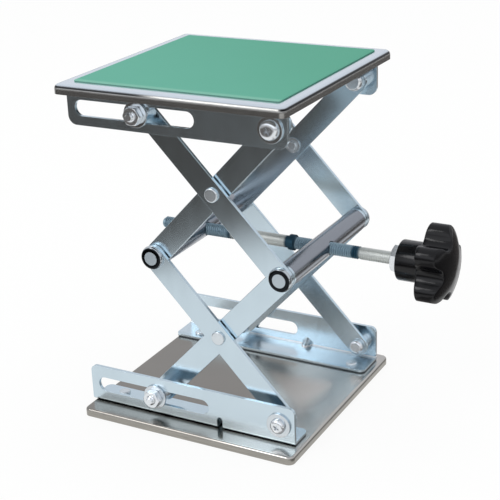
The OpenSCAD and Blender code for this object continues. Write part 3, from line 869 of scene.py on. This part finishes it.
def leadScrew():
    low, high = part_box("lead_screw")
    collarLow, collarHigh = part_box("stop_collar")
    outer, root, plain = screwShape["outer"], screwShape["root"], screwShape["plain"]
    pitch = screwShape["pitch"]
    bm = bmesh.new()
    # one core from the rounded tail to the knob, thinner where it is threaded
    tail = low.x
    leftEnd = tail + screwShape["leftThread"]
    rightEnd = pivotX + screwShape["rightThread"]
    outline = [(0.0, tail), (0.9 * mm, tail), (1.7 * mm, tail + 0.3 * mm), (root, tail + 1.0 * mm)]
    outline += [(root, leftEnd), (plain, leftEnd + 0.5 * mm), (plain, collarLow.x - 0.2 * mm)]
    outline += [(outer, collarLow.x), (outer, collarHigh.x), (root, collarHigh.x + 0.3 * mm)]
    outline += [(root, rightEnd), (plain, rightEnd + 0.5 * mm), (plain, high.x), (0.0, high.x)]
    turned(bm, outline, 48)
    cleaned(bm)
    threaded(bm, tail + 0.7 * mm, leftEnd - tail - 0.4 * mm, outer, root, pitch, 1)
    threaded(bm, collarHigh.x, rightEnd - collarHigh.x, outer, root, pitch, -1)
    crest, groove = plain + screwShape["crest"], plain - screwShape["groove"]
    leftShank = collarLow.x - leftEnd - 1.0 * mm
    rightShank = high.x - screwShape["inKnob"] - rightEnd
    threaded(bm, leftEnd + 0.6 * mm, leftShank, crest, groove, pitch, 1)
    threaded(bm, rightEnd + 0.6 * mm, rightShank, crest, groove, pitch, -1)
    bmesh.ops.remove_doubles(bm, verts=bm.verts, dist=2e-6)
    bmesh.ops.recalc_face_normals(bm, faces=bm.faces)
    bm.transform(Matrix.Translation((0, middleY, screwZ)) @ Matrix.Rotation(math.pi / 2, 4, "Y"))
    finishPiece("leadScrew", bm, "screwSteel", "screw", ["lead_screw"], 28.0)


leadScrew()
print("lab jack: lead screw threaded")

# the star knob

knob = {
    "lobes": 5,
    "lobeRadius": 4.2 * mm,
    "valley": 10.0 * mm,
    "turn": math.radians(20),
    "hubWidth": 16.8 * mm,
    "hubLength": 9.4 * mm,
    "width": 33.5 * mm,
    "flare": 1.6 * mm,
    "lobeThickness": 8.0 * mm,
    "points": 240,
    "edge": 0.7 * mm,
}


def starRadius(angle, outerR):
    # distance to the star's outline: round lobes and round valleys that meet tangentially
    lobeR, valleyR = knob["lobeRadius"], knob["valley"]
    half = math.pi / knob["lobes"]
    lobeAt = outerR - lobeR
    drop = valleyR - lobeR
    valleyAt = (lobeAt**2 - drop**2) / (2 * (lobeAt * math.cos(half) - drop))
    hollowR = valleyAt - valleyR
    meet = lobeR / (lobeR + hollowR)
    a = abs((angle + half) % (2 * half) - half)
    touchX = (1 - meet) * lobeAt + meet * valleyAt * math.cos(half)
    touchY = meet * valleyAt * math.sin(half)
    if a < math.atan2(touchY, touchX):
        return lobeAt * math.cos(a) + math.sqrt(max(lobeR**2 - (lobeAt * math.sin(a)) ** 2, 0.0))
    b = half - a
    return valleyAt * math.cos(b) - math.sqrt(max(hollowR**2 - (valleyAt * math.sin(b)) ** 2, 0.0))


def starKnob():
    low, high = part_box("star_knob")
    faceTop = high.x
    start = low.x
    rim = start + knob["hubLength"] + knob["flare"]
    face = rim + knob["lobeThickness"]
    outerR = knob["width"] / 2
    edge = knob["edge"]
    dome = faceTop - face
    hubR = knob["hubWidth"] / 2
    foot = hubR + 0.4 * mm

    def domeX(r):
        return faceTop - dome * (r / outerR) ** 2

    # rings from the hub's mouth out to the lobes and over the face
    length = knob["hubLength"]
    rings = [(4.5 * mm, 0.0), (hubR - 0.6 * mm, 0.0), (hubR - 0.2 * mm, 0.15 * mm), (hubR, 0.5 * mm)]
    rings += [(hubR, length - 0.6 * mm), (hubR + 0.1 * mm, length - 0.1 * mm)]
    rings += [(foot, length + 0.2 * mm)]
    bm = bmesh.new()
    rows = []
    turn = knob["turn"]
    count = knob["points"]

    def addRing(radiusAt, heightAt):
        made = bmesh.ops.create_circle(bm, cap_ends=False, radius=1.0, segments=count)["verts"]
        for v in made:
            a = math.atan2(v.co.y, v.co.x)
            r = radiusAt(a)
            v.co = Vector((r * math.cos(a), r * math.sin(a), heightAt(a, r)))
        rows.append(list({e for v in made for e in v.link_edges}))

    def star(a):
        return starRadius(a - turn, outerR)

    def backX(r):
        return start + length + 0.2 * mm + (r - foot) / (outerR - foot) * (knob["flare"] - 0.4 * mm)

    for r, x in rings:
        addRing(lambda a, r=r: r, lambda a, rr, x=x: start + x)
    for share in (0.25, 0.6, 0.9):  # the lobes' sloped back
        addRing(
            lambda a, s=share: foot + (star(a) - edge - foot) * s,
            lambda a, r: backX(r),
        )
    addRing(lambda a: star(a) - edge, lambda a, r: backX(r))
    for turnBack in (30, 60, 90):
        t = math.radians(turnBack)
        addRing(
            lambda a, t=t: star(a) - edge + edge * math.sin(t),
            lambda a, r, t=t: backX(star(a)) + edge * (1 - math.cos(t)),
        )
    for t in (0.33, 0.66):
        addRing(
            lambda a: star(a),
            lambda a, r, t=t: (1 - t) * (rim + edge) + t * (domeX(star(a)) - edge),
        )
    for turnFace in (0, 30, 60, 90):
        t = math.radians(turnFace)
        inwards, below = edge * (1 - math.cos(t)), edge * (1 - math.sin(t))
        addRing(
            lambda a, inwards=inwards: star(a) - inwards,
            lambda a, r, inwards=inwards, below=below: domeX(star(a)) - below + inwards * 0.25,
        )
    for share in (0.93, 0.8, 0.62, 0.42, 0.22, 0.08):
        addRing(lambda a, s=share: (star(a) - edge) * s, lambda a, r: domeX(r))
    for first, second in zip(rows, rows[1:]):
        bmesh.ops.bridge_loops(bm, edges=first + second)
    centre = bm.verts.new((0, 0, faceTop))
    for e in rows[-1]:
        bm.faces.new((e.verts[0], e.verts[1], centre))
    cleaned(bm, 5e-7)
    # local +Z becomes the screw's axis, local +X points down
    bm.transform(Matrix.Translation((0, middleY, screwZ)) @ Matrix.Rotation(math.pi / 2, 4, "Y"))
    bmesh.ops.recalc_face_normals(bm, faces=bm.faces)
    finishPiece("starKnob", bm, "glossBlackPlastic", "screw", ["star_knob"], 60.0)


starKnob()
print("lab jack: star knob shaped")

# floor, reflection cards, lights and camera

stageLook = {
    "floor": (0.94, 0.94, 0.935, 1.0),
    "floorBright": (1.0, 1.0, 0.995, 1.0),
    "floorHalf": 4.0,
    "cardDark": (0.085, 0.075, 0.068, 1.0),
    "cardHeight": 0.4 * mm,
    "worldHigh": (0.93, 0.95, 1.0, 1.0),
    "worldLow": (0.3, 0.3, 0.31, 1.0),
    "worldLevel": 0.85,
    # how much of the floor shines to the camera and to mirrored rays
    "floorSeen": 0.9,
    "floorMirrored": 0.8,
    # where the world turns from low to high, by the height of the direction
    "horizon": (0.03, 0.16),
    # a brighter box in front, that the plates pass on to the brackets
    "frontBox": 0.6,
    "frontDepth": (-0.55, -0.75),
    "frontBottom": (0.12, 0.25),
    "frontTop": (0.65, 0.5),
}
cards = {
    # name: two corners on the floor, the slope its near edge is feathered along, where that starts
    # and ends, and how dark the card is
    "frontCard": ((-1.4, -1.4), (0.6, -0.10), (-2.0, -1.0), (0.37, 0.45), 1.0),
    "rimCard": ((0.052, -0.2), (0.080, 0.3), (1.0, 0.0), (0.0515, 0.053), 0.75),
    "knobCard": ((-0.06, 0.13), (0.07, 0.3), (1.0, 0.0), (-0.06, -0.03), 0.85),
    "rightCard": ((0.13, -0.2), (1.0, 1.4), (1.0, 0.0), (0.138, 0.152), 0.9),
}
lights = {
    # name: position, what it is turned to, size, power, whether its own shape is reflected
    "keyBox": ((-0.7, -0.9, 1.1), (0, 0, 0.07), (0.6, 0.6), 4.5, True),
    "topBox": ((0.1, 0.2, 1.5), (0, 0, 0.1), (0.8, 0.8), 3.5, False),
}


def stageFloor():
    finish = Finish(bpy.data.materials.new("paleFloor"))
    seen = finish.node("ShaderNodeLightPath", output="Is Camera Ray")
    mirrored = finish.node("ShaderNodeLightPath", output="Is Glossy Ray")
    plain = finish.node("ShaderNodeBsdfDiffuse", None, {"Color": stageLook["floor"]})
    glow = {"Color": stageLook["floorBright"], "Strength": 1.0}
    bright = finish.node("ShaderNodeEmission", None, glow)
    shining = seen * stageLook["floorSeen"] + mirrored * stageLook["floorMirrored"]
    mixed = finish.node("ShaderNodeMixShader", None, {0: shining, 1: plain, 2: bright})
    finish.node("ShaderNodeOutputMaterial", None, {"Surface": mixed})
    bm = bmesh.new()
    bmesh.ops.create_grid(bm, x_segments=1, y_segments=1, size=stageLook["floorHalf"])
    stageObject("paleFloor", bm, finish.owner)


def stageObject(name, bm, material):
    mesh = bpy.data.meshes.new(name)
    bm.to_mesh(mesh)
    bm.free()
    mesh.materials.append(material)
    made = bpy.data.objects.new(name, mesh)
    bpy.context.scene.collection.objects.link(made)
    return made


def darkCard(name, first, second, slope, fade, strength):
    # a dark card lying on the floor, seen only in reflections
    finish = Finish(bpy.data.materials.new(name))
    place = finish.place()
    along = finish.axis("X", place) * slope[0] + finish.axis("Y", place) * slope[1]
    amount = finish.step(along, *fade, 0.0, strength)
    clear = finish.node("ShaderNodeBsdfTransparent")
    glow = {"Color": stageLook["cardDark"], "Strength": 1.0}
    dark = finish.node("ShaderNodeEmission", None, glow)
    mixed = finish.node("ShaderNodeMixShader", None, {0: amount, 1: clear, 2: dark})
    finish.node("ShaderNodeOutputMaterial", None, {"Surface": mixed})
    (x0, y0), (x1, y1) = first, second
    bm = bmesh.new()
    made = bmesh.ops.create_grid(bm, x_segments=1, y_segments=1, size=0.5)["verts"]
    bmesh.ops.scale(bm, verts=made, vec=(abs(x1 - x0), abs(y1 - y0), 1.0))
    middle = ((x0 + x1) / 2, (y0 + y1) / 2, stageLook["cardHeight"])
    bmesh.ops.translate(bm, verts=made, vec=middle)
    card = stageObject(name, bm, finish.owner)
    card.visible_camera = False
    card.visible_diffuse = False
    card.visible_shadow = False
    card.visible_transmission = False


def world():
    made = bpy.data.worlds.new("studio")
    bpy.context.scene.world = made
    finish = Finish(made)
    direction = finish.node("ShaderNodeTexCoord", output="Generated")
    height = finish.axis("Z", direction)
    above = finish.step(height, *stageLook["horizon"])
    colour = finish.tinted(above, stageLook["worldLow"], stageLook["worldHigh"])
    depth = finish.axis("Y", direction)
    mirrored = finish.node("ShaderNodeLightPath", output="Is Glossy Ray")
    front = finish.step(depth, *stageLook["frontDepth"])
    front = front * finish.step(height, *stageLook["frontBottom"])
    front = front * finish.step(height, *stageLook["frontTop"])
    seen = finish.node("ShaderNodeLightPath", output="Is Camera Ray")
    colour = finish.tinted(seen, colour, (1.0, 1.0, 1.0, 1.0))
    level = stageLook["worldLevel"] + seen * (1.0 - stageLook["worldLevel"])
    level = level + front * mirrored * stageLook["frontBox"]
    shader = finish.node("ShaderNodeBackground", None, {"Color": colour, "Strength": level})
    finish.node("ShaderNodeOutputWorld", None, {"Surface": shader})


def softLight(name, position, target, size, power, reflected):
    data = bpy.data.lights.new(name, "AREA")
    data.shape = "RECTANGLE"
    data.size, data.size_y = size
    data.energy = power
    made = bpy.data.objects.new(name, data)
    made.location = position
    made.visible_glossy = reflected
    made.rotation_euler = (Vector(target) - Vector(position)).to_track_quat("-Z", "Y").to_euler()
    bpy.context.scene.collection.objects.link(made)


def camera():
    shot = {
        "turn": 0.503195,
        "tilt": 0.377650,
        "roll": -0.0366895,
        "position": (0.245429, -0.432910, 0.264066),
        "lens": 89.239,
    }
    data = bpy.data.cameras.new("camera")
    data.sensor_width = 36.0
    data.lens = shot["lens"]
    data.clip_start = 0.01
    turn, tilt, roll = shot["turn"], shot["tilt"], shot["roll"]
    forward = Vector(
        (-math.sin(turn) * math.cos(tilt), math.cos(turn) * math.cos(tilt), -math.sin(tilt))
    )
    right = forward.cross(Vector((0, 0, 1))).normalized()
    up = right.cross(forward)
    side = math.cos(roll) * right + math.sin(roll) * up
    top = math.cos(roll) * up - math.sin(roll) * right
    matrix = Matrix((side, top, -forward)).transposed().to_4x4()
    matrix.translation = Vector(shot["position"])
    made = bpy.data.objects.new("camera", data)
    made.matrix_world = matrix
    bpy.context.scene.collection.objects.link(made)
    bpy.context.scene.camera = made


stageFloor()
for name, card in cards.items():
    darkCard(name, *card)
world()
for name, light in lights.items():
    softLight(name, *light)
camera()
bpy.context.scene.view_settings.view_transform = "Standard"
print("lab jack: stage set")
